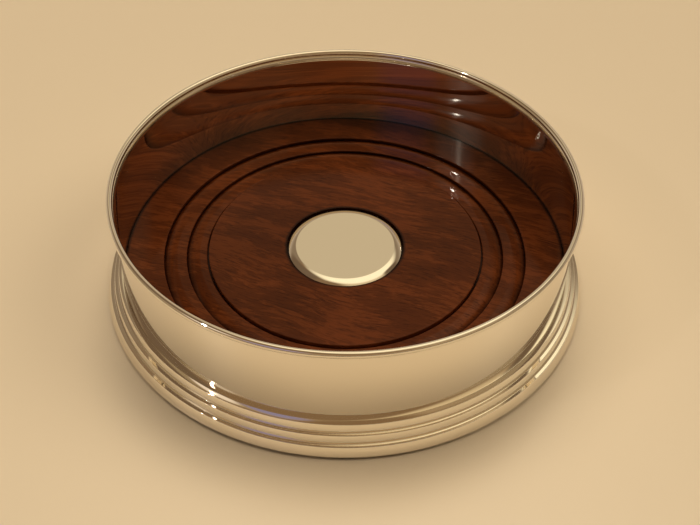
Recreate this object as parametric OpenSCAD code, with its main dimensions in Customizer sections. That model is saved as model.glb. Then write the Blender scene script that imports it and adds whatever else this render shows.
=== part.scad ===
// Wine bottle coaster: a silver gallery with a stepped foot, round a turned hardwood base.
// The origin is the centre of the underside, on the surface that the coaster stands on, and +Z is up.

/* [Gallery] */
// Outer diameter of the upright gallery wall
gallery_d = 120.5; // [112:0.5:150]
// Height of the whole coaster, up to the top of the rim wire
overall_h = 33.5; // [26:0.5:60]
// Thickness of the sheet that the gallery is made from
gallery_gauge = 0.5; // [0.4:0.05:0.8]
// Height of the flared stretch at the top of the wall
flare_h = 1.5; // [1.2:0.1:3]
// Distance that the top of the wall flares outwards
flare_out = 0.4; // [0.2:0.05:0.6]
// Width of the flange that is turned in under the wood
flange_w = 8.4; // [6:0.2:14]

/* [Rim wire] */
// Diameter of the round wire soldered along the top edge
rim_wire_d = 1.75; // [1.5:0.05:3]
// Distance from the wire's axis down to the edge of the wall that it is soldered to
rim_seat_drop = 0.6; // [0.3:0.05:0.7]

/* [Skirt] */
// Thickness of the sheet that the skirt is made from
skirt_gauge = 0.5; // [0.4:0.05:0.6]
// Number of arrises, the sharp edges that step down the skirt
arris_count = 3; // [2:1:4]
// Height of each step, from one arris down to the next ledge
step_h = 2.4; // [2:0.1:3]
// Width of each step, from one arris out to the next
step_w = 1.4; // [1.1:0.1:2]
// Width of the ledge between the wall and the highest arris
neck_w = 1.3; // [0.8:0.1:2]
// Radius of the upright crown on the face below each arris
face_crown_r = 10; // [8:0.5:30]
// Lean of each of these faces at its foot, in degrees
face_angle = 6; // [0:1:8]
// Height of the plain band, from the lowest arris down to the foot's edge
band_h = 3.35; // [2.8:0.05:5]
// Radius of the band's upright crown
band_crown_r = 14; // [11:1:40]
// Lean of the band where it meets the roll, in degrees
band_angle = 15; // [8:1:18]
// Radius of the roll that turns the band under
foot_roll_r = 0.7; // [0.65:0.05:0.9]
// Width of the rolled edge that stands below the rest of the underside
foot_edge_w = 2.4; // [2:0.1:3]
// Height of the rolled edge above the table
foot_lift = 0.45; // [0.2:0.05:0.7]

/* [Wood base] */
// Thickness of the wood at its flat outer ring
wood_t = 8.4; // [7:0.1:12]
// Gap between the wood's edge and the inside of the wall
wood_clear = 0.1; // [0.05:0.05:0.4]
// Inner diameter of the flat outer ring
ring_d = 98.8; // [95:0.2:103]
// Inner diameter of the outer reed
outer_reed_d = 86.6; // [83:0.2:90]
// Diameter of the raised central disc
disc_d = 74.6; // [70:0.2:78]
// Depth of the quirks beside the reeds, below the flat ring
quirk_depth = 1.1; // [0.7:0.1:1.6]
// Width of the open quirk round the central disc
quirk_w = 0.45; // [0.3:0.05:0.8]
// Distance of the reeds' crowns below the flat ring
reed_set = 0.2; // [0.1:0.05:0.4]
// Width of the rounded fall on the outer side of each reed
reed_fall_w = 3.6; // [2.4:0.1:4.2]
// Height of the central disc above the flat ring
disc_lift = 0.5; // [0.3:0.1:1.2]
// Radius of the softened lip on each turned edge
lip_r = 0.25; // [0.1:0.05:0.3]

/* [Boss] */
// Diameter of the silver boss in the middle of the base
boss_d = 31.2; // [26:0.2:40]
// Height of the boss from the floor of its recess
boss_h = 1.4; // [1.3:0.1:2.5]
// Thickness of the sheet that the boss is stamped from
boss_gauge = 0.5; // [0.4:0.05:0.7]
// Width of the boss's rounded shoulder
boss_shoulder_w = 2.6; // [1.5:0.1:4]
// Height that the shoulder falls from the flat top to the upright edge
boss_shoulder_h = 0.7; // [0.4:0.05:0.8]
// Depth of the recess in the wood that the boss sits in
boss_seat = 1.2; // [0.7:0.1:1.6]
// Gap round the boss in its recess
boss_clear = 0.45; // [0.1:0.05:0.6]

/* [Fixings] */
// Diameter of the stud that holds the boss down
stud_d = 2.5; // [2:0.1:3]
// Gap round the stud in the wood and in the washer
stud_clear = 0.15; // [0.1:0.05:0.3]
// Diameter of the washer under the nut
washer_d = 9; // [7:0.5:11]
// Thickness of the washer
washer_t = 0.6; // [0.4:0.1:1]
// Width of the hexagonal nut across its flats
nut_w = 5; // [4:0.5:6]
// Thickness of the nut
nut_t = 1.8; // [1.4:0.1:2.2]
// Length of the stud beyond the nut
stud_tail = 0.7; // [0.3:0.1:0.9]
// Diameter of the pocket under the wood that hides the nut
pocket_d = 13; // [12:0.5:18]
// Depth of that pocket
pocket_h = 4; // [3.8:0.1:4.5]
// Number of pins that hold the flange to the wood
pin_count = 6; // [3:1:12]
// Diameter of each pin's shank
pin_d = 1.2; // [1:0.1:1.6]
// Diameter of each pin's countersunk head
pin_head_d = 2.4; // [2:0.1:3]
// Length of each pin with its head
pin_l = 5.2; // [4:0.1:5.4]

/* [Baize] */
// Thickness of the baize, which carries the coaster
baize_t = 1; // [0.8:0.1:2]
// Gap between the edge of the baize and the foot's rolled edge
baize_clear = 0.2; // [0.1:0.05:0.5]

/* [Hidden] */
PINS = [for (i = [1:pin_count]) str("base_pin_", i)];
$fn = 128;
// Length by which a cutting shape runs past what it cuts
over = 1;
wall_r = gallery_d / 2;
wall_in_r = wall_r - gallery_gauge;
// Underside of the flange, the skirt's lip and the wood, on which the baize is glued
bed_z = baize_t;
flange_in_r = wall_in_r - flange_w;
rim_r = rim_wire_d / 2;
rim_z = overall_h - rim_r;
rim_centre_r = wall_in_r + flare_out + rim_r;
wall_top_z = rim_z - rim_seat_drop;
// The flare is an arc that leaves the wall without a corner
flare_r = (flare_h * flare_h + flare_out * flare_out) / (2 * flare_out);
flare_z = wall_top_z - flare_h;
// The skirt's arrises, counted from the lowest up
top_arris = arris_count - 1;
arris_z = [for (i = [0:top_arris]) foot_lift + band_h + i * step_h];
arris_r = [for (i = [0:top_arris]) wall_r + neck_w + (top_arris - i) * step_w];
// The band's crown is tangent to the roll below it
roll_z = foot_lift + foot_roll_r;
band_crown_z = roll_z - (band_crown_r - foot_roll_r) * sin(band_angle);
band_crown_at = arris_r[0] - reach(band_crown_r, arris_z[0] - band_crown_z);
roll_at = band_crown_at + (band_crown_r - foot_roll_r) * cos(band_angle);
band_r = roll_at + foot_roll_r;
foot_edge_r = band_r - foot_edge_w;
// Each other face has its crown's middle the same way below its foot
face_crown_drop = face_crown_r * sin(face_angle);
face_crown_in = reach(face_crown_r, step_h + face_crown_drop);
// The turned face of the wood
wood_r = wall_in_r - wood_clear;
wood_top_z = bed_z + wood_t;
crown_z = wood_top_z - reed_set;
quirk_z = wood_top_z - quirk_depth;
disc_z = wood_top_z + disc_lift;
reed_fall_h = crown_z - quirk_z;
reed_r = (reed_fall_w * reed_fall_w + reed_fall_h * reed_fall_h) / (2 * reed_fall_h);
// The boss and its fixing
boss_r = boss_d / 2;
boss_z = disc_z - boss_seat;
boss_top_z = boss_z + boss_h;
shoulder_r = (boss_shoulder_w * boss_shoulder_w + boss_shoulder_h * boss_shoulder_h) / (2 * boss_shoulder_h);
washer_z = bed_z + pocket_h - washer_t;
nut_z = washer_z - nut_t;
stud_z = nut_z - stud_tail;
// The pins stand in the middle of the flange
pin_ring_r = (flange_in_r + wall_in_r) / 2;
pin_head_h = (pin_head_d - pin_d) / 2;

// Level distance from an arc's middle to the arc, at a height above that middle
function reach(radius, height) = sqrt(radius * radius - height * height);

// Rectangle in the turning plane between two radii and two heights
module band(in_r, out_r, low_z, high_z) {
    translate([in_r, low_z]) square([out_r - in_r, high_z - low_z]);
}

// Disc in the turning plane, for round edges and crowned faces
module round_at(centre_r, centre_z, radius) {
    translate([centre_r, centre_z]) circle(r = radius);
}

// Block of the turned face, with a softened lip on its inner or its outer top edge
module lipped(in_r, out_r, high_z, lip_in, lip_out) {
    band(in_r, out_r, bed_z, high_z - lip_r);
    band(in_r + lip_in, out_r - lip_out, bed_z, high_z);
    if (lip_in > 0) round_at(in_r + lip_r, high_z - lip_r, lip_r);
    if (lip_out > 0) round_at(out_r - lip_r, high_z - lip_r, lip_r);
}

// Reed of the turned face: a flat crown that rounds over to the quirk on its outer side
module reed(in_r, out_r) {
    intersection() {
        lipped(in_r, out_r, crown_z, lip_r, 0);
        union() {
            band(in_r, out_r - reed_fall_w, bed_z, crown_z);
            round_at(out_r - reed_fall_w, crown_z - reed_r, reed_r);
            band(in_r, out_r, bed_z, quirk_z);
        }
    }
}

// Outside of the skirt in the turning plane, drawn in from the true face by the inset
module skirt_outline(inset) {
    join_z = roll_z + (foot_roll_r - inset) * sin(band_angle);
    // Foot: the roll and the space inside it
    band(wall_r, roll_at, foot_lift + inset, join_z);
    round_at(roll_at, roll_z, foot_roll_r - inset);
    // Band: its crown leans in from the roll up to the lowest arris
    intersection() {
        band(wall_r, band_r, join_z, arris_z[0] - inset);
        round_at(band_crown_at, band_crown_z, band_crown_r - inset);
    }
    // Steps: each face is crowned, and leans in from the ledge below up to its arris
    for (i = [1:top_arris]) intersection() {
        band(wall_r, band_r, join_z, arris_z[i] - inset);
        round_at(arris_r[i] - face_crown_in, arris_z[i - 1] - face_crown_drop, face_crown_r - inset);
    }
}

// Countersunk pin at the origin, pointing up
module pin_shape() {
    cylinder(h = pin_head_h, r1 = pin_head_d / 2, r2 = pin_d / 2);
    translate([0, 0, pin_head_h]) cylinder(h = pin_l - pin_head_h, d = pin_d);
}

// Puts its children at one of the pins' places, level with the flange's underside
module at_pin(i) {
    rotate([0, 0, (i + 1 / 2) * 360 / pin_count]) translate([pin_ring_r, 0, bed_z]) children();
}

// Gallery: spun wall, flared at the top to meet the wire, with a flange turned in under the wood
module gallery() {
    color("#d8d2c4") difference() {
        rotate_extrude() difference() {
            union() {
                band(flange_in_r, wall_r, bed_z, bed_z + gallery_gauge);
                band(wall_in_r, wall_r, bed_z, flare_z);
                intersection() {
                    difference() {
                        round_at(wall_in_r + flare_r, flare_z, flare_r);
                        round_at(wall_in_r + flare_r, flare_z, flare_r - gallery_gauge);
                    }
                    band(wall_in_r, rim_centre_r + rim_r, flare_z, wall_top_z);
                }
            }
            round_at(rim_centre_r, rim_z, rim_r);
        }
        for (i = [1:pin_count]) at_pin(i) pin_shape();
    }
}

// Rim: round wire soldered along the top edge of the wall
module rim_wire() {
    color("#e4dfd2") rotate_extrude() round_at(rim_centre_r, rim_z, rim_r);
}

// Skirt: hollow moulding of thin sheet with stepped, crowned faces, rolled under at the foot
module skirt_mount() {
    color("#cfc8b8") rotate_extrude() difference() {
        skirt_outline(0);
        difference() {
            skirt_outline(skirt_gauge);
            band(0, foot_edge_r + skirt_gauge, 0, bed_z + skirt_gauge);
        }
        band(0, foot_edge_r, 0, bed_z);
    }
}

// Base: turned hardwood with two reeds round a raised disc, rebated underneath for the flange
module wood_base() {
    color("#6b2f16") difference() {
        rotate_extrude() difference() {
            union() {
                band(0, wood_r, bed_z, quirk_z);
                lipped(ring_d / 2, wood_r, wood_top_z, lip_r, 0);
                reed(outer_reed_d / 2, ring_d / 2);
                reed(disc_d / 2 + quirk_w, outer_reed_d / 2);
                lipped(0, disc_d / 2, disc_z, 0, lip_r);
            }
            band(flange_in_r - wood_clear, wall_r, 0, bed_z + gallery_gauge);
            band(0, boss_r + boss_clear, boss_z, disc_z + over);
        }
        translate([0, 0, bed_z - over]) cylinder(h = over + pocket_h, d = pocket_d);
        translate([0, 0, bed_z]) cylinder(h = wood_t + disc_lift, r = stud_d / 2 + stud_clear);
        for (i = [1:pin_count]) at_pin(i) pin_shape();
    }
}

// Boss: stamped disc with a rounded shoulder, hollow underneath
module boss() {
    module face(inset) {
        intersection() {
            band(0, boss_r - inset, boss_z, boss_top_z - inset);
            union() {
                band(0, boss_r - boss_shoulder_w, boss_z, boss_top_z - inset);
                round_at(boss_r - boss_shoulder_w, boss_top_z - shoulder_r, shoulder_r - inset);
            }
        }
    }
    color("#d9cba8") rotate_extrude() difference() {
        face(0);
        face(boss_gauge);
    }
}

// Stud: soldered under the boss, and passing down through the wood
module boss_stud() {
    color("#b99a52") translate([0, 0, stud_z])
        cylinder(h = boss_top_z - boss_gauge - stud_z, d = stud_d);
}

// Washer: spreads the nut's pull over the wood
module boss_washer() {
    color("#b99a52") translate([0, 0, washer_z]) difference() {
        cylinder(h = washer_t, d = washer_d);
        translate([0, 0, -over]) cylinder(h = washer_t + 2 * over, r = stud_d / 2 + stud_clear);
    }
}

// Nut: hexagonal, screwed up the stud
module boss_nut() {
    color("#b99a52") translate([0, 0, nut_z]) difference() {
        cylinder(h = nut_t, d = nut_w / cos(180 / 6), $fn = 6);
        translate([0, 0, -over]) cylinder(h = nut_t + 2 * over, d = stud_d);
    }
}

// Pin: countersunk flush with the flange's underside
module base_pin(i) {
    color("#b99a52") at_pin(i) pin_shape();
}

// Baize: felt disc glued under the wood and the flange
module baize_pad() {
    color("#1f4a33") cylinder(h = baize_t, r = foot_edge_r - baize_clear);
}

gallery();
rim_wire();
skirt_mount();
wood_base();
boss();
boss_stud();
boss_washer();
boss_nut();
baize_pad();
for (i = [1:pin_count]) base_pin(i);
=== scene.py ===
"""Looks of a wine bottle coaster: spun silver, turned mahogany, a silver boss and baize, on a plain table."""

import math

import bmesh
import bpy
from mathutils import Matrix, Vector


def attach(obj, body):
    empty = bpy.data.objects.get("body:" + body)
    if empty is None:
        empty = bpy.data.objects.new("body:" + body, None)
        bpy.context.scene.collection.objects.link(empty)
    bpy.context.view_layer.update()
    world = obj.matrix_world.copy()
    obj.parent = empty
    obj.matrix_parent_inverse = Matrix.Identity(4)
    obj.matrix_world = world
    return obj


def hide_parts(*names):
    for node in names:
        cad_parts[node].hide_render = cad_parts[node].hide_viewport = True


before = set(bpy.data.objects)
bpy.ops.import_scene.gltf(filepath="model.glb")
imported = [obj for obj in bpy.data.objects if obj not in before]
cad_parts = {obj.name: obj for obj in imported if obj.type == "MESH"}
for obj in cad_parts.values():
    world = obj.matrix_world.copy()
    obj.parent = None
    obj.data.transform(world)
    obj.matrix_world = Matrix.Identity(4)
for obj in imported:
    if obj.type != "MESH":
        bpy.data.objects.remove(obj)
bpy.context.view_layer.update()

bl_info = {
    "name": "Wine bottle coaster",
    "version": (1, 0, 0),
    "blender": (4, 5, 0),
    "location": "3D View > Sidebar > Coaster",
    "description": "Builds the silver, wood and baize of a turned wine bottle coaster",
    "category": "Object",
}

MM = 0.001
# Shorter lengths than this, in metres, count as none
TINY = 1e-9
# Straight steps in the arcs of the turned profiles
CORNER_STEPS = 3
NAP_STEPS = 5
FACE_STEPS = 10
FLARE_STEPS = 12
ROLL_STEPS = 14
SHOULDER_STEPS = 16
WIRE_STEPS = 40
# A corner is softened where the profile turns by an angle in this range, in degrees
SOFTENED_TURNS = (25, 150)
# Most of a side that a softened corner may take
CORNER_SHARE = 0.45
# Edges that turn by more than this stay sharp, in degrees
SHARP_TURN = 32
# Rounding of the baize's cut edge, rings on each of its faces, and faces round it
BAIZE_EDGE_R = 0.25 * MM
BAIZE_RINGS = 24
BAIZE_SEGMENTS = 192
# Half the side of the table top, in metres, and its faces along each side
TABLE_HALF = 4.0
TABLE_FACES = 8
# Width of the camera's frame, in millimetres, and the nearest that it sees, in metres
FRAME_WIDTH = 36
CLIP_START = 0.01

# Directions and places on the stage are given as the camera sees them: X to the right, Y away from it and Z up.
# Lamps on the left: name, place, width and length in metres, setting that holds the power, and colour
LAMPS = (
    ("left_lamp", (-0.70, -0.32, 0.64), 0.03, 0.03, "spark_power", "#FFF8EC"),
    ("left_strip", (-0.64, -0.22, 0.73), 0.02, 0.34, "strip_power", "#FFF0E0"),
)
# Direction of the lamps' long sides
LAMPS_ALONG = (0.456, 0.70, 0.549)
# Soft light on matt surfaces: direction, cosines of its outer and inner edge, and share
SOFT_LIGHTS = (
    ((0.08, 0.36, 0.93), 0.95, 0.995, 1.0),
    ((-0.352, 0.203, 0.914), 0.94, 0.995, 0.57),
    ((0.68, 0.05, 0.73), 0.93, 0.99, 0.56),
    ((0.0, 0.588, 0.809), 0.94, 0.995, 0.25),
)
# Bands low on the room's walls: limits along Y and along Z between which each comes in, and its colour
ROOM_BANDS = (
    (0.1, 0.6, 0.62, 0.35, "room_low"),
    (-0.1, -0.5, 0.34, 0.14, "room_dark"),
)
# Heights between which the walls darken up to the ceiling's edge
CEILING_EDGE = (0.71, 0.79)
# Patches over the walls, from the first to the topmost: direction, cosines of outer and inner edge, and colour
ROOM_PATCHES = (
    ((0.30, 0.0, 0.95), 0.90, 0.98, "ceiling_dim"),
    ((0.15, 0.375, 0.915), 0.885, 0.965, "ceiling"),
    ((0.10, -0.66, 0.745), 0.90, 0.97, "room_corner"),
    ((-0.72, -0.34, 0.61), 0.975, 0.995, "lamp"),
    ((-0.44, -0.69, 0.57), 0.955, 0.995, "window"),
    ((0.0, 0.745, 0.667), 0.978, 0.99, "room_patch"),
    ((-0.56, 0.32, 0.77), 0.92, 0.97, "room_dark"),
    ((0.59, 0.34, 0.73), 0.975, 0.995, "room_dark"),
)
# Setting of a map range that comes in softly
SOFTLY = {"interpolation_type": "SMOOTHSTEP"}


def linear(code):
    """Linear colour with alpha of an sRGB hex code."""
    parts = [int(code[i : i + 2], 16) / 255 for i in (1, 3, 5)]
    return (*[p / 12.92 if p <= 0.04045 else ((p + 0.055) / 1.055) ** 2.4 for p in parts], 1.0)


def length(name, description, size_mm):
    """Length property with its default in millimetres."""
    return bpy.props.FloatProperty(
        name=name, description=description, default=size_mm * MM, min=0, subtype="DISTANCE", unit="LENGTH", precision=5
    )


def angle(name, description, degrees):
    """Angle property with its default in degrees."""
    return bpy.props.FloatProperty(
        name=name, description=description, default=math.radians(degrees), min=0, subtype="ANGLE", unit="ROTATION"
    )


def colour(name, description, code):
    """Colour property with its default as an sRGB hex code."""
    return bpy.props.FloatVectorProperty(
        name=name, description=description, default=linear(code), size=4, min=0, max=1, subtype="COLOR"
    )


def count(name, description, default, least, most):
    """Property that is a whole number."""
    return bpy.props.IntProperty(name=name, description=description, default=default, min=least, max=most)


def level(name, description, default, unit="NONE"):
    """Property that is a strength from 0 up."""
    return bpy.props.FloatProperty(name=name, description=description, default=default, min=0, unit=unit)


class SilverSettings(bpy.types.PropertyGroup):
    """Sizes and colour of the silver."""

    wall_r: length("Wall radius", "Outside of the upright gallery wall", 60.25)
    wall_gauge: length("Wall gauge", "Thickness of the gallery's sheet", 0.5)
    flange_w: length("Flange", "Width of the flange turned in under the wood", 8.4)
    bed_z: length("Bed", "Height of the underside of flange and wood", 1.0)
    overall_h: length("Height", "Top of the rim wire", 33.5)
    flare_h: length("Flare height", "Height of the flared stretch of the wall", 1.5)
    flare_out: length("Flare", "Distance that the top of the wall flares out", 0.4)
    wire_r: length("Rim wire", "Radius of the wire along the top edge", 0.875)
    seat_drop: length("Wire seat", "Wire's axis above the edge of the wall", 0.6)
    skirt_gauge: length("Skirt gauge", "Thickness of the skirt's sheet", 0.5)
    neck_w: length("Neck ledge", "Width of the ledge round the wall", 1.3)
    step_w: length("Step width", "From one arris out to the next", 1.4)
    step_h: length("Step height", "From one arris down to the next ledge", 2.4)
    crown_r: length("Face crown", "Upright crown on the face below each arris", 10.0)
    face_angle: angle("Face lean", "Lean of each of these faces at its foot", 6.0)
    band_h: length("Band", "From the lowest arris down to the foot's edge", 3.35)
    band_crown_r: length("Band crown", "Upright crown of the band", 14.0)
    band_angle: angle("Band lean", "Lean of the band where it meets the roll", 15.0)
    roll_r: length("Foot roll", "Radius of the roll under the band", 0.7)
    foot_w: length("Foot edge", "Width of the rolled edge underneath", 2.4)
    foot_lift: length("Foot lift", "Height of the rolled edge above the table", 0.45)
    arris_r: length("Arris", "Softening of each arris by polishing", 0.09)
    boss_r: length("Boss radius", "Outside of the boss", 15.6)
    boss_z: length("Boss seat", "Floor of the recess that the boss sits in", 8.7)
    boss_h: length("Boss height", "Height of the boss from its seat", 1.4)
    boss_gauge: length("Boss gauge", "Thickness of the boss's sheet", 0.5)
    shoulder_w: length("Boss shoulder", "Width of the boss's rounded shoulder", 2.6)
    shoulder_h: length("Shoulder fall", "Fall of the shoulder to the upright edge", 0.7)
    arrises: count("Arrises", "Sharp edges that step down the skirt", 3, 2, 4)
    segments: count("Segments", "Faces round each turned piece", 288, 48, 720)
    colour: colour("Silver", "Reflection of polished sterling silver", "#F8F3E8")


class WoodSettings(bpy.types.PropertyGroup):
    """Colours of the turned base."""

    dark: colour("Dark grain", "Latewood and pores filled with polish", "#3F1A08")
    middle: colour("Middle grain", "Most of the wood", "#4A210B")
    light: colour("Light grain", "Earlywood between the dark bands", "#5A2A10")


class BaizeSettings(bpy.types.PropertyGroup):
    """Size and colours of the baize."""

    radius: length("Baize radius", "Edge of the baize", 62.69)
    thickness: length("Baize thickness", "Nap and cloth together", 1.0)
    dark: colour("Baize shade", "Down between the fibres", "#12301F")
    light: colour("Baize nap", "Tips of the raised fibres", "#2B5C40")


class StageSettings(bpy.types.PropertyGroup):
    """Table, light and camera."""

    table: colour("Table", "Plain cream table top", "#E2CFB4")
    room_front: colour("Room in front", "What the silver sees behind the camera", "#9C8362")
    room_side: colour("Room to the sides", "What the silver sees to its left and right", "#8E7A5E")
    room_behind: colour("Room behind", "What the silver sees half way up behind the coaster", "#7E6B54")
    room_low: colour("Wall behind", "What the silver sees low behind the coaster", "#B09C84")
    room_patch: colour("Lit patch", "Lit wall that the boss mirrors", "#B9A686")
    room_dark: colour("Dark corners", "Dark corners on either side, and the room low in front", "#66523E")
    room_corner: colour("Ceiling's edge", "What the silver sees just below the ceiling", "#7A6044")
    ceiling_dim: colour("Dim ceiling", "Part of the ceiling overhead that is less lit", "#C6AE88")
    ceiling: colour("Ceiling", "Lit part of the ceiling, behind on the right", "#FAE8C0")
    lamp: colour("Lamp glow", "Wall round the lamp on the left", "#E2D0BC")
    window: colour("Window glow", "Bluish window in front on the left", "#887E96")
    daylight: colour("Soft light", "Colour of the soft light from the ceiling", "#FFF0D4")
    shade: colour("Fill light", "Soft light from everywhere else", "#F2EADF")
    backdrop: colour("Backdrop", "Seen past the table's edge in low views", "#D9CBB4")
    lens_mm: bpy.props.FloatProperty(
        name="Lens", description="Focal length for a 36 mm frame", default=57.891, min=10, subtype="DISTANCE_CAMERA"
    )
    turn: angle("Turn", "Angle between the wood's grain and the camera's level", 17)
    eye: bpy.props.FloatVectorProperty(
        name="Camera place", description="Where the camera stands, before it is turned with the room",
        default=(0, -0.22868, 0.21824), subtype="TRANSLATION", unit="LENGTH",
    )
    aim: bpy.props.FloatVectorProperty(
        name="Camera angles", description="How the camera is aimed, before it is turned with the room",
        default=[math.radians(a) for a in (46.787, -0.455, 0.080)], subtype="EULER", unit="ROTATION",
    )
    light_level: level("Soft light", "Strength of the soft light from the ceiling", 6.5)
    fill_level: level("Fill", "Strength of the fill light", 0.03)
    room_level: level("Room", "Brightness of what the silver sees", 1.2)
    spark_power: level("Lamp", "Power of the small bright lamp on the left", 0.5, "POWER")
    strip_power: level("Strip lamp", "Power of the long lamp on the left", 0.12, "POWER")


class CoasterSettings(bpy.types.PropertyGroup):
    """All that a user would change."""

    silver: bpy.props.PointerProperty(type=SilverSettings)
    wood: bpy.props.PointerProperty(type=WoodSettings)
    baize: bpy.props.PointerProperty(type=BaizeSettings)
    stage: bpy.props.PointerProperty(type=StageSettings)


def add(tree, kind, settings=None, inputs=None):
    """Adds a node with its settings, and gives its inputs their values or links."""
    node = tree.nodes.new(kind)
    for name, value in (settings or {}).items():
        if name == "stops":
            band = node.color_ramp
            for place, shade in value[1:-1]:
                band.elements.new(place).color = shade
            band.elements[0].position, band.elements[0].color = value[0]
            band.elements[-1].position, band.elements[-1].color = value[-1]
        else:
            setattr(node, name, value)
    for name, value in (inputs or {}).items():
        if isinstance(value, bpy.types.NodeSocket):
            tree.links.new(value, node.inputs[name])
        else:
            node.inputs[name].default_value = value
    return node


def start_material(name):
    """Empty material with its tree, and object coordinates in millimetres."""
    material = bpy.data.materials.new(name)
    material.use_nodes = True
    tree = material.node_tree
    tree.nodes.clear()
    coord = add(tree, "ShaderNodeTexCoord")
    mm = add(tree, "ShaderNodeVectorMath", {"operation": "SCALE"}, {0: coord.outputs["Object"], "Scale": 1 / MM})
    return material, tree, mm.outputs["Vector"]


def finish_material(tree, shader):
    """Links a shader to the material's output."""
    add(tree, "ShaderNodeOutputMaterial", None, {"Surface": shader.outputs[0]})


def polished_silver():
    """Sterling silver, spun and hand polished."""
    # A bright, slightly warm mirror. The spinning leaves long soft waves that bend what it reflects,
    # and the polishing cloth leaves dull smears.
    settings = bpy.context.scene.coaster.silver
    material, tree, mm = start_material("sterling_silver_spun_and_polished")
    smear = add(tree, "ShaderNodeTexNoise", None, {"Vector": mm, "Scale": 1 / 14, "Detail": 4, "Roughness": 0.6})
    dull = add(tree, "ShaderNodeMapRange", None, {
        "Value": smear.outputs["Fac"], "From Min": 0.35, "From Max": 0.75, "To Min": 0.02, "To Max": 0.06,
    })
    wave = add(tree, "ShaderNodeTexNoise", None, {"Vector": mm, "Scale": 1 / 17, "Detail": 1})
    bump = add(tree, "ShaderNodeBump", None, {"Strength": 0.35, "Distance": 0.06 * MM, "Height": wave.outputs["Fac"]})
    shader = add(tree, "ShaderNodeBsdfPrincipled", None, {
        "Base Color": settings.colour, "Metallic": 1.0, "Roughness": dull.outputs["Result"],
        "Normal": bump.outputs["Normal"],
    })
    finish_material(tree, shader)
    return material


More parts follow.
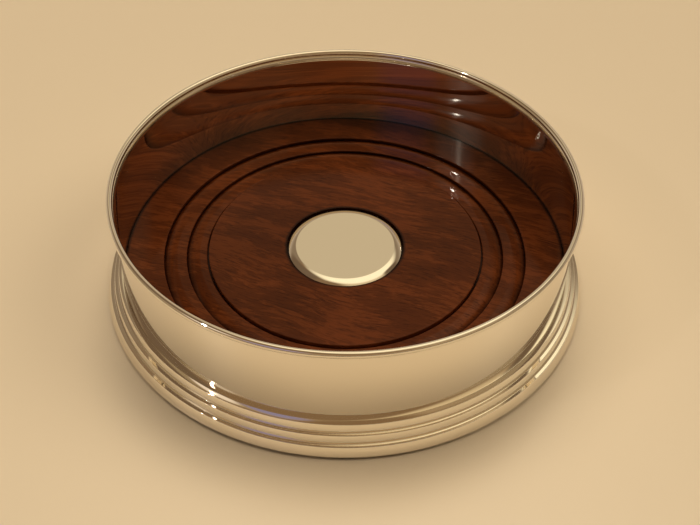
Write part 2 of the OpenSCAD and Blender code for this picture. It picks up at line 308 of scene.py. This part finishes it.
def lacquered_mahogany():
    """Mahogany, turned, stained and lacquered."""
    # The grain runs along X: short dark streaks that wander, fine dark pores, a cloudy stain, and a thin
    # clear lacquer that gives a sharp but weak reflection over the wood.
    settings = bpy.context.scene.coaster.wood
    material, tree, mm = start_material("mahogany_turned_and_lacquered")
    drift = add(tree, "ShaderNodeTexNoise", None, {"Vector": mm, "Scale": 1 / 55, "Detail": 1})
    sway = add(tree, "ShaderNodeMath", {"operation": "MULTIPLY_ADD"}, {0: drift.outputs["Fac"], 1: 20.0, 2: -10.0})
    shift = add(tree, "ShaderNodeCombineXYZ", None, {"Y": sway.outputs[0]})
    bent = add(tree, "ShaderNodeVectorMath", {"operation": "ADD"}, {0: mm, 1: shift.outputs[0]})
    # Streaks about 1.5 mm apart and 7 mm long
    along = add(tree, "ShaderNodeMapping", None, {"Vector": bent.outputs[0], "Scale": (1 / 7, 1 / 1.5, 1 / 1.5)})
    bands = add(tree, "ShaderNodeTexNoise", None, {
        "Vector": along.outputs[0], "Scale": 1.0, "Detail": 4, "Roughness": 0.66, "Distortion": 0.5,
    })
    # Broad figure, 8 mm across and 22 mm long
    wide = add(tree, "ShaderNodeMapping", None, {"Vector": bent.outputs[0], "Scale": (1 / 22, 1 / 8, 1 / 8)})
    figure = add(tree, "ShaderNodeTexNoise", None, {
        "Vector": wide.outputs[0], "Scale": 1.0, "Detail": 2, "Roughness": 0.5,
    })
    grain = add(tree, "ShaderNodeMath", {"operation": "MULTIPLY_ADD"}, {
        0: figure.outputs["Fac"], 1: 0.8, 2: bands.outputs["Fac"],
    })
    stops = [(0.5, settings.dark), (0.88, settings.middle), (1.0, settings.light)]
    tone = add(tree, "ShaderNodeValToRGB", {"stops": stops}, {"Fac": grain.outputs[0]})
    # Pores 3 mm long and a quarter of a millimetre wide
    fine = add(tree, "ShaderNodeMapping", None, {"Vector": bent.outputs[0], "Scale": (1 / 3.2, 1 / 0.28, 1 / 0.28)})
    pores = add(tree, "ShaderNodeTexNoise", None, {"Vector": fine.outputs[0], "Scale": 1.0, "Detail": 2})
    pore = add(tree, "ShaderNodeMapRange", None, {
        "Value": pores.outputs["Fac"], "From Min": 0.34, "From Max": 0.46, "To Min": 0.6, "To Max": 1.0,
    })
    # Cloudy stain, 20 to 40 mm across
    cloud = add(tree, "ShaderNodeTexNoise", None, {"Vector": mm, "Scale": 1 / 26, "Detail": 3})
    stain = add(tree, "ShaderNodeMapRange", None, {
        "Value": cloud.outputs["Fac"], "From Min": 0.3, "From Max": 0.7, "To Min": 0.8, "To Max": 1.2,
    })
    shade = add(tree, "ShaderNodeMath", {"operation": "MULTIPLY"}, {
        0: pore.outputs["Result"], 1: stain.outputs["Result"],
    })
    # Painted shade darkens the quirks, by height, and the edge round the boss and the corner along the wall,
    # by radius: where the wood is unshaded, and where the painted shade is deepest, in millimetres
    part = add(tree, "ShaderNodeSeparateXYZ", None, {"Vector": mm})
    flat = add(tree, "ShaderNodeCombineXYZ", None, {"X": part.outputs["X"], "Y": part.outputs["Y"]})
    reach = add(tree, "ShaderNodeVectorMath", {"operation": "LENGTH"}, {0: flat.outputs[0]})
    for value, unshaded, deepest_shade in (
        (part.outputs["Z"], 8.95, 8.4), (reach.outputs["Value"], 16.8, 16.2), (reach.outputs["Value"], 58.8, 59.4),
    ):
        crease_shade = add(tree, "ShaderNodeMapRange", None, {
            "Value": value, "From Min": deepest_shade, "From Max": unshaded, "To Min": 0.25, "To Max": 1.0,
        })
        shade = add(tree, "ShaderNodeMath", {"operation": "MULTIPLY"}, {0: shade.outputs[0], 1: crease_shade.outputs["Result"]})
    base = add(tree, "ShaderNodeVectorMath", {"operation": "SCALE"}, {
        0: tone.outputs["Color"], "Scale": shade.outputs[0],
    })
    # Lacquer that has sunk a little over the grain
    sunk = add(tree, "ShaderNodeBump", None, {"Strength": 0.4, "Distance": 0.02 * MM, "Height": bands.outputs["Fac"]})
    peel = add(tree, "ShaderNodeTexNoise", None, {"Vector": mm, "Scale": 1 / 6, "Detail": 1})
    skin = add(tree, "ShaderNodeBump", None, {"Strength": 0.3, "Distance": 0.02 * MM, "Height": peel.outputs["Fac"]})
    worn = add(tree, "ShaderNodeMapRange", None, {
        "Value": cloud.outputs["Fac"], "From Min": 0.3, "From Max": 0.7, "To Min": 0.4, "To Max": 0.55,
    })
    shader = add(tree, "ShaderNodeBsdfPrincipled", None, {
        "Base Color": base.outputs[0], "Roughness": worn.outputs["Result"], "Specular IOR Level": 0.0,
        "Normal": sunk.outputs["Normal"], "Coat Weight": 1.0, "Coat Roughness": 0.12, "Coat IOR": 1.22,
        "Coat Normal": skin.outputs["Normal"],
    })
    finish_material(tree, shader)
    return material


def turned_brass():
    """Brass, turned and left unpolished."""
    # Dull yellow metal with darker tarnish in patches.
    material, tree, mm = start_material("brass_turned_and_tarnished")
    patch = add(tree, "ShaderNodeTexNoise", None, {"Vector": mm, "Scale": 1 / 1.5, "Detail": 4})
    stops = [(0.35, linear("#7A5A2A")), (0.7, linear("#C8A25A"))]
    tone = add(tree, "ShaderNodeValToRGB", {"stops": stops}, {"Fac": patch.outputs["Fac"]})
    dull = add(tree, "ShaderNodeMapRange", None, {"Value": patch.outputs["Fac"], "To Min": 0.45, "To Max": 0.25})
    shader = add(tree, "ShaderNodeBsdfPrincipled", None, {
        "Base Color": tone.outputs["Color"], "Metallic": 1.0, "Roughness": dull.outputs["Result"],
    })
    finish_material(tree, shader)
    return material


def woven_baize():
    """Wool baize, woven and felted."""
    # Matt green cloth whose raised nap hides the weave; the fibres are drawn coarser than real ones.
    settings = bpy.context.scene.coaster.baize
    material, tree, mm = start_material("wool_baize_felted")
    fibre = add(tree, "ShaderNodeTexNoise", None, {"Vector": mm, "Scale": 1 / 0.35, "Detail": 6, "Roughness": 0.7})
    weave = add(tree, "ShaderNodeTexVoronoi", None, {"Vector": mm, "Scale": 1 / 0.8})
    nap = add(tree, "ShaderNodeMath", {"operation": "MULTIPLY_ADD"}, {
        0: weave.outputs["Distance"], 1: 0.35, 2: fibre.outputs["Fac"],
    })
    stops = [(0.4, settings.dark), (0.85, settings.light)]
    tone = add(tree, "ShaderNodeValToRGB", {"stops": stops}, {"Fac": nap.outputs[0]})
    bump = add(tree, "ShaderNodeBump", None, {"Strength": 0.8, "Distance": 0.12 * MM, "Height": nap.outputs[0]})
    shader = add(tree, "ShaderNodeBsdfPrincipled", None, {
        "Base Color": tone.outputs["Color"], "Roughness": 0.95, "Normal": bump.outputs["Normal"],
        "Sheen Weight": 0.6, "Sheen Roughness": 0.5, "Sheen Tint": settings.light,
    })
    finish_material(tree, shader)
    return material


def arc(centre, radius, start, end, steps):
    """Points of an arc in the turning plane, from one angle to another in degrees."""
    angles = [math.radians(start + (end - start) * i / steps) for i in range(steps + 1)]
    return [(centre[0] + radius * math.cos(a), centre[1] + radius * math.sin(a)) for a in angles]


def soften(points, radius):
    """Rounds the sharp corners of a closed profile, as polishing does."""
    result = []
    for i, point in enumerate(points):
        here, before, after = Vector(point), Vector(points[i - 1]), Vector(points[(i + 1) % len(points)])
        back, on = before - here, after - here
        if back.length < TINY or on.length < TINY:
            continue
        turn = math.pi - back.angle(on)
        if not SOFTENED_TURNS[0] <= math.degrees(turn) <= SOFTENED_TURNS[1]:
            result.append(point)
            continue
        cut = min(radius * math.tan(turn / 2), CORNER_SHARE * back.length, CORNER_SHARE * on.length)
        first, last = here + back.normalized() * cut, here + on.normalized() * cut
        for k in range(CORNER_STEPS + 1):
            t = k / CORNER_STEPS
            result.append(tuple((1 - t) ** 2 * first + 2 * t * (1 - t) * here + t * t * last))
    return result


def make_piece(name, mesh, material):
    """Object of a finished mesh, smooth but for its sharp edges."""
    data = bpy.data.meshes.new(name)
    mesh.to_mesh(data)
    mesh.free()
    data.shade_smooth()
    data.set_sharp_from_angle(angle=math.radians(SHARP_TURN))
    data.materials.append(material)
    piece = bpy.data.objects.new(name, data)
    bpy.context.scene.collection.objects.link(piece)
    return piece


def spin(name, profile, segments, material, closed=True):
    """Turns a profile of (radius, height) points about the Z axis; an open one starts and ends on the axis."""
    mesh = bmesh.new()
    rings = []
    for radius, height in profile:
        if radius < TINY:
            rings.append([mesh.verts.new((0, 0, height))])
        else:
            turns = [2 * math.pi * k / segments for k in range(segments)]
            rings.append([mesh.verts.new((radius * math.cos(a), radius * math.sin(a), height)) for a in turns])
    pairs = list(zip(rings, rings[1:] + rings[:1])) if closed else list(zip(rings, rings[1:]))
    for low, high in pairs:
        if len(low) == 1 and len(high) == 1:
            continue
        for k in range(segments):
            n = (k + 1) % segments
            corners = [low[k % len(low)], low[n % len(low)], high[n % len(high)], high[k % len(high)]]
            mesh.faces.new(list(dict.fromkeys(corners)))
    bmesh.ops.recalc_face_normals(mesh, faces=mesh.faces)
    return make_piece(name, mesh, material)


def declare(piece, node):
    """Hangs a piece under the root body, and hides the CAD node that it stands for."""
    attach(piece, "root")
    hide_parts(node)


def finish_nodes(names, material):
    """Gives CAD nodes a finished material."""
    for name in names:
        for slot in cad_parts[name].material_slots:
            slot.material = material


def shared(name, maker):
    """Material of that name, made at its first use."""
    return bpy.data.materials.get(name) or maker()


def silver():
    """The silver that all silver pieces share."""
    return shared("sterling_silver_spun_and_polished", polished_silver)


def gallery_profile(s):
    """Section of the gallery: the flange under the wood, the wall and its flare."""
    inner_r = s.wall_r - s.wall_gauge
    top_z = s.overall_h - s.wire_r - s.seat_drop
    flare_z = top_z - s.flare_h
    flare_r = (s.flare_h**2 + s.flare_out**2) / (2 * s.flare_out)
    centre = (inner_r + flare_r, flare_z)
    outer_r = flare_r - s.wall_gauge
    inside = 180 - math.degrees(math.asin(s.flare_h / flare_r))
    outside = 180 - math.degrees(math.asin(s.flare_h / outer_r))
    flange_r = inner_r - s.flange_w
    return [
        (flange_r, s.bed_z),
        (s.wall_r, s.bed_z),
        *arc(centre, outer_r, 180, outside, FLARE_STEPS),
        *arc(centre, flare_r, inside, 180, FLARE_STEPS),
        (inner_r, s.bed_z + s.wall_gauge),
        (flange_r, s.bed_z + s.wall_gauge),
    ]


def skirt_face(s, inset):
    """Face of the skirt from the wall down to the foot, drawn in by the sheet's thickness for its inside."""
    top = s.arrises - 1
    arris_z = [s.foot_lift + s.band_h + i * s.step_h for i in range(s.arrises)]
    arris_r = [s.wall_r + s.neck_w + (top - i) * s.step_w for i in range(s.arrises)]
    drop = s.crown_r * math.sin(s.face_angle)
    points = [(s.wall_r, arris_z[top] - inset)]
    for i in range(top, 0, -1):
        centre = (arris_r[i] - math.sqrt(s.crown_r**2 - (s.step_h + drop) ** 2), arris_z[i - 1] - drop)
        radius = s.crown_r - inset
        tilts = [math.degrees(math.asin((z - inset - centre[1]) / radius)) for z in (arris_z[i], arris_z[i - 1])]
        points += arc(centre, radius, *tilts, FACE_STEPS)
    roll_z = s.foot_lift + s.roll_r
    crown_z = roll_z - (s.band_crown_r - s.roll_r) * math.sin(s.band_angle)
    crown_at = arris_r[0] - math.sqrt(s.band_crown_r**2 - (arris_z[0] - crown_z) ** 2)
    roll_at = crown_at + (s.band_crown_r - s.roll_r) * math.cos(s.band_angle)
    lean = math.degrees(s.band_angle)
    tilt = math.degrees(math.asin((arris_z[0] - inset - crown_z) / (s.band_crown_r - inset)))
    points += arc((crown_at, crown_z), s.band_crown_r - inset, tilt, lean, FACE_STEPS)
    points += arc((roll_at, roll_z), s.roll_r - inset, lean, -90, ROLL_STEPS)[1:]
    return points, roll_at + s.roll_r


def skirt_profile(s):
    """Closed section of the hollow skirt."""
    outside, band_r = skirt_face(s, 0)
    inside = skirt_face(s, s.skirt_gauge)[0]
    edge_r = band_r - s.foot_w
    return [
        *outside,
        (edge_r, s.foot_lift),
        (edge_r, s.bed_z),
        (s.wall_r, s.bed_z),
        (s.wall_r, s.bed_z + s.skirt_gauge),
        (edge_r + s.skirt_gauge, s.bed_z + s.skirt_gauge),
        (edge_r + s.skirt_gauge, s.foot_lift + s.skirt_gauge),
        *reversed(inside),
    ]


def boss_profile(s):
    """Closed section of the hollow boss, from the axis out over the shoulder and back underneath."""

    def face(inset):
        shoulder_r = (s.shoulder_w**2 + s.shoulder_h**2) / (2 * s.shoulder_h)
        centre = (s.boss_r - s.shoulder_w, s.boss_z + s.boss_h - shoulder_r)
        end = math.degrees(math.acos((s.shoulder_w - inset) / (shoulder_r - inset)))
        shoulder = arc(centre, shoulder_r - inset, 90, end, SHOULDER_STEPS)
        return [(0, s.boss_z + s.boss_h - inset), *shoulder, (s.boss_r - inset, s.boss_z)]

    return [*face(0), *reversed(face(s.boss_gauge))]


def baize_profile(b):
    """Section of the baize, from the middle of its underside out round its edge and back on top."""
    rings = [b.radius * k / BAIZE_RINGS for k in range(BAIZE_RINGS)]
    edge_r = b.radius - BAIZE_EDGE_R
    return [
        *[(r, 0.0) for r in rings],
        *arc((edge_r, BAIZE_EDGE_R), BAIZE_EDGE_R, -90, 0, NAP_STEPS),
        *arc((edge_r, b.thickness - BAIZE_EDGE_R), BAIZE_EDGE_R, 0, 90, NAP_STEPS),
        *[(r, b.thickness) for r in reversed(rings)],
    ]


def turned(place, turn):
    """Place or direction that is turned about the coaster's axis."""
    return Matrix.Rotation(turn, 3, "Z") @ Vector(place)


def lay_table(g):
    """Plain table top with a faint sheen."""
    mesh = bmesh.new()
    bmesh.ops.create_grid(mesh, x_segments=TABLE_FACES, y_segments=TABLE_FACES, size=TABLE_HALF)
    material, tree, mm = start_material("table_top_lacquered")
    # Lacquered board: an even cream with the faintest clouding and a soft sheen.
    cloud = add(tree, "ShaderNodeTexNoise", None, {"Vector": mm, "Scale": 1 / 120, "Detail": 2})
    dull = add(tree, "ShaderNodeMapRange", None, {"Value": cloud.outputs["Fac"], "To Min": 0.32, "To Max": 0.42})
    shader = add(tree, "ShaderNodeBsdfPrincipled", None, {"Base Color": g.table, "Roughness": dull.outputs["Result"]})
    finish_material(tree, shader)
    make_piece("table", mesh, material)


def spread(tree, way, place, outer, inner):
    """Share of a soft round patch in one direction, from its outer to its inner edge as cosines."""
    facing = add(tree, "ShaderNodeVectorMath", {"operation": "DOT_PRODUCT"}, {0: way, 1: Vector(place).normalized()})
    share = add(tree, "ShaderNodeMapRange", SOFTLY, {
        "Value": facing.outputs["Value"], "From Min": outer, "From Max": inner,
    })
    return share.outputs["Result"]


def layered(tree, tone, layers):
    """Colour with other colours laid over it, each by its share."""
    for share, over in layers:
        tone = add(tree, "ShaderNodeMix", {"data_type": "RGBA"}, {0: share, 6: tone, 7: over}).outputs[2]
    return tone


def paint_room(tree, way, g):
    """Picture of the room that the silver reflects: plain walls, with bands and soft patches over them."""
    split = add(tree, "ShaderNodeSeparateXYZ", None, {"Vector": way})
    away, up = split.outputs["Y"], split.outputs["Z"]
    # Dim walls all round
    depth = add(tree, "ShaderNodeMapRange", None, {"Value": away, "From Min": -1.0, "From Max": 1.0})
    stops = [(0.15, g.room_front), (0.5, g.room_side), (0.75, g.room_behind)]
    walls = add(tree, "ShaderNodeValToRGB", {"stops": stops}, {"Fac": depth.outputs["Result"]})
    # Paler low behind, darker low in front, and darker up by the ceiling's edge
    layers = []
    for far, near, top, base, tone in ROOM_BANDS:
        side = add(tree, "ShaderNodeMapRange", SOFTLY, {"Value": away, "From Min": far, "From Max": near})
        low = add(tree, "ShaderNodeMapRange", SOFTLY, {"Value": up, "From Min": top, "From Max": base})
        both = {0: side.outputs["Result"], 1: low.outputs["Result"]}
        share = add(tree, "ShaderNodeMath", {"operation": "MULTIPLY"}, both)
        layers.append((share.outputs[0], getattr(g, tone)))
    start, end = CEILING_EDGE
    high = add(tree, "ShaderNodeMapRange", SOFTLY, {"Value": up, "From Min": start, "From Max": end})
    layers.append((high.outputs["Result"], g.room_corner))
    # The ceiling, the lamp's glow, the window, the wall that the boss mirrors, and dark corners
    layers += [(spread(tree, way, place, outer, inner), getattr(g, tone)) for place, outer, inner, tone in ROOM_PATCHES]
    return layered(tree, walls.outputs["Color"], layers)


def gather_light(tree, way, g):
    """Light on matt surfaces: soft patches from overhead, with a faint fill from all round."""
    light = 0.0
    for place, outer, inner, share in SOFT_LIGHTS:
        patch = spread(tree, way, place, outer, inner)
        light = add(tree, "ShaderNodeMath", {"operation": "MULTIPLY_ADD"}, {0: patch, 1: share, 2: light}).outputs[0]
    strength = add(tree, "ShaderNodeMath", {"operation": "MULTIPLY"}, {0: light, 1: g.light_level})
    warm = add(tree, "ShaderNodeVectorMath", {"operation": "SCALE"}, {0: g.daylight[:3], "Scale": strength.outputs[0]})
    fill = [g.fill_level * part for part in g.shade[:3]]
    return add(tree, "ShaderNodeVectorMath", {"operation": "ADD"}, {0: warm.outputs[0], 1: fill}).outputs[0]


def light_room(scene, g):
    """Room round the coaster: soft light on matt surfaces, a picture for the silver, and a plain backdrop."""
    world = bpy.data.worlds.new("room")
    world.use_nodes = True
    tree = world.node_tree
    tree.nodes.clear()
    coord = add(tree, "ShaderNodeTexCoord")
    facing = {"Vector": coord.outputs["Generated"], "Angle": -g.turn}
    way = add(tree, "ShaderNodeVectorRotate", {"rotation_type": "Z_AXIS"}, facing).outputs["Vector"]
    picture = {0: paint_room(tree, way, g), "Scale": g.room_level}
    room = add(tree, "ShaderNodeVectorMath", {"operation": "SCALE"}, picture)
    seen = add(tree, "ShaderNodeLightPath")
    picked = layered(tree, gather_light(tree, way, g), [
        (seen.outputs["Is Glossy Ray"], room.outputs[0]),
        (seen.outputs["Is Camera Ray"], g.backdrop),
    ])
    background = add(tree, "ShaderNodeBackground", None, {"Color": picked, "Strength": 1.0})
    add(tree, "ShaderNodeOutputWorld", None, {"Surface": background.outputs[0]})
    scene.world = world


def hang_lamp(name, place, along, width, span, power, code):
    """Lamp that faces the coaster, with its long side along one direction."""
    data = bpy.data.lights.new(name, "AREA")
    data.shape = "RECTANGLE"
    data.size = width
    data.size_y = span
    data.energy = power
    data.color = linear(code)[:3]
    lamp = bpy.data.objects.new(name, data)
    lamp.location = place
    away = Vector(place).normalized()
    side = Vector(along).cross(away).normalized()
    lamp.rotation_euler = Matrix((side, away.cross(side), away)).transposed().to_euler()
    bpy.context.scene.collection.objects.link(lamp)


def place_camera(scene, g):
    """Camera that looks down on the coaster."""
    camera = bpy.data.objects.new("camera", bpy.data.cameras.new("camera"))
    scene.collection.objects.link(camera)
    camera.location = turned(g.eye, g.turn)
    camera.rotation_euler = (g.aim[0], g.aim[1], g.aim[2] + g.turn)
    camera.data.sensor_width = FRAME_WIDTH
    camera.data.lens = g.lens_mm
    camera.data.clip_start = CLIP_START
    scene.camera = camera


class COASTER_OT_gallery(bpy.types.Operator):
    """Spin the gallery wall with its flare and flange"""

    bl_idname = "coaster.gallery"
    bl_label = "Gallery"

    def execute(self, context):
        s = context.scene.coaster.silver
        piece = spin("gallery_wall", soften(gallery_profile(s), s.arris_r), s.segments, silver())
        declare(piece, "gallery")
        return {"FINISHED"}


class COASTER_OT_rim(bpy.types.Operator):
    """Turn the round wire along the top edge"""

    bl_idname = "coaster.rim"
    bl_label = "Rim wire"

    def execute(self, context):
        s = context.scene.coaster.silver
        centre = (s.wall_r - s.wall_gauge + s.flare_out + s.wire_r, s.overall_h - s.wire_r)
        piece = spin("rim_round_wire", arc(centre, s.wire_r, 0, 360, WIRE_STEPS)[:-1], s.segments, silver())
        declare(piece, "rim_wire")
        return {"FINISHED"}


class COASTER_OT_skirt(bpy.types.Operator):
    """Spin the stepped skirt with its rolled foot"""

    bl_idname = "coaster.skirt"
    bl_label = "Skirt"

    def execute(self, context):
        s = context.scene.coaster.silver
        piece = spin("stepped_skirt", soften(skirt_profile(s), s.arris_r), s.segments, silver())
        declare(piece, "skirt_mount")
        return {"FINISHED"}


class COASTER_OT_boss(bpy.types.Operator):
    """Stamp the silver boss in the middle of the base"""

    bl_idname = "coaster.boss"
    bl_label = "Boss"

    def execute(self, context):
        s = context.scene.coaster.silver
        piece = spin("silver_boss", boss_profile(s), s.segments, silver(), closed=False)
        declare(piece, "boss")
        return {"FINISHED"}


class COASTER_OT_wood(bpy.types.Operator):
    """Finish the turned wood base"""

    bl_idname = "coaster.wood"
    bl_label = "Wood base"

    def execute(self, context):
        finish_nodes(["wood_base"], shared("mahogany_turned_and_lacquered", lacquered_mahogany))
        return {"FINISHED"}


class COASTER_OT_fixings(bpy.types.Operator):
    """Finish the brass stud, washer, nut and pins"""

    bl_idname = "coaster.fixings"
    bl_label = "Fixings"

    def execute(self, context):
        starts = ("base_pin_", "boss_stud", "boss_washer", "boss_nut")
        names = [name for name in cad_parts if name.startswith(starts)]
        finish_nodes(names, shared("brass_turned_and_tarnished", turned_brass))
        return {"FINISHED"}


class COASTER_OT_baize(bpy.types.Operator):
    """Lay the felted baize under the coaster"""

    bl_idname = "coaster.baize"
    bl_label = "Baize"

    def execute(self, context):
        b = context.scene.coaster.baize
        cloth = shared("wool_baize_felted", woven_baize)
        piece = spin("baize_felt", baize_profile(b), BAIZE_SEGMENTS, cloth, closed=False)
        declare(piece, "baize_pad")
        return {"FINISHED"}


class COASTER_OT_stage(bpy.types.Operator):
    """Set up the table, the lamps, the room and the camera"""

    bl_idname = "coaster.stage"
    bl_label = "Stage"

    def execute(self, context):
        g = context.scene.coaster.stage
        scene = context.scene
        lay_table(g)
        light_room(scene, g)
        along = turned(LAMPS_ALONG, g.turn)
        for name, place, width, span, power, code in LAMPS:
            hang_lamp(name, turned(place, g.turn), along, width, span, getattr(g, power), code)
        place_camera(scene, g)
        scene.view_settings.view_transform = "Standard"
        return {"FINISHED"}


class COASTER_PT_panel(bpy.types.Panel):
    """Sizes, colours and building steps of the coaster"""

    bl_label = "Wine bottle coaster"
    bl_idname = "COASTER_PT_panel"
    bl_space_type = "VIEW_3D"
    bl_region_type = "UI"
    bl_category = "Coaster"

    def draw(self, context):
        for name, group in (("Silver", "silver"), ("Wood", "wood"), ("Baize", "baize"), ("Stage", "stage")):
            box = self.layout.box()
            box.label(text=name)
            settings = getattr(context.scene.coaster, group)
            for key in settings.__annotations__:
                box.prop(settings, key)
        for step in STEPS:
            self.layout.operator(step.bl_idname)


STEPS = (
    COASTER_OT_stage,
    COASTER_OT_gallery,
    COASTER_OT_rim,
    COASTER_OT_skirt,
    COASTER_OT_wood,
    COASTER_OT_boss,
    COASTER_OT_fixings,
    COASTER_OT_baize,
)
CLASSES = (SilverSettings, WoodSettings, BaizeSettings, StageSettings, CoasterSettings, *STEPS, COASTER_PT_panel)


def register():
    for entry in CLASSES:
        bpy.utils.register_class(entry)
    bpy.types.Scene.coaster = bpy.props.PointerProperty(type=CoasterSettings)


def unregister():
    del bpy.types.Scene.coaster
    for entry in reversed(CLASSES):
        bpy.utils.unregister_class(entry)


def main():
    register()
    for step in STEPS:
        getattr(bpy.ops.coaster, step.bl_idname.split(".")[1])()


if __name__ == "__main__":
    main()
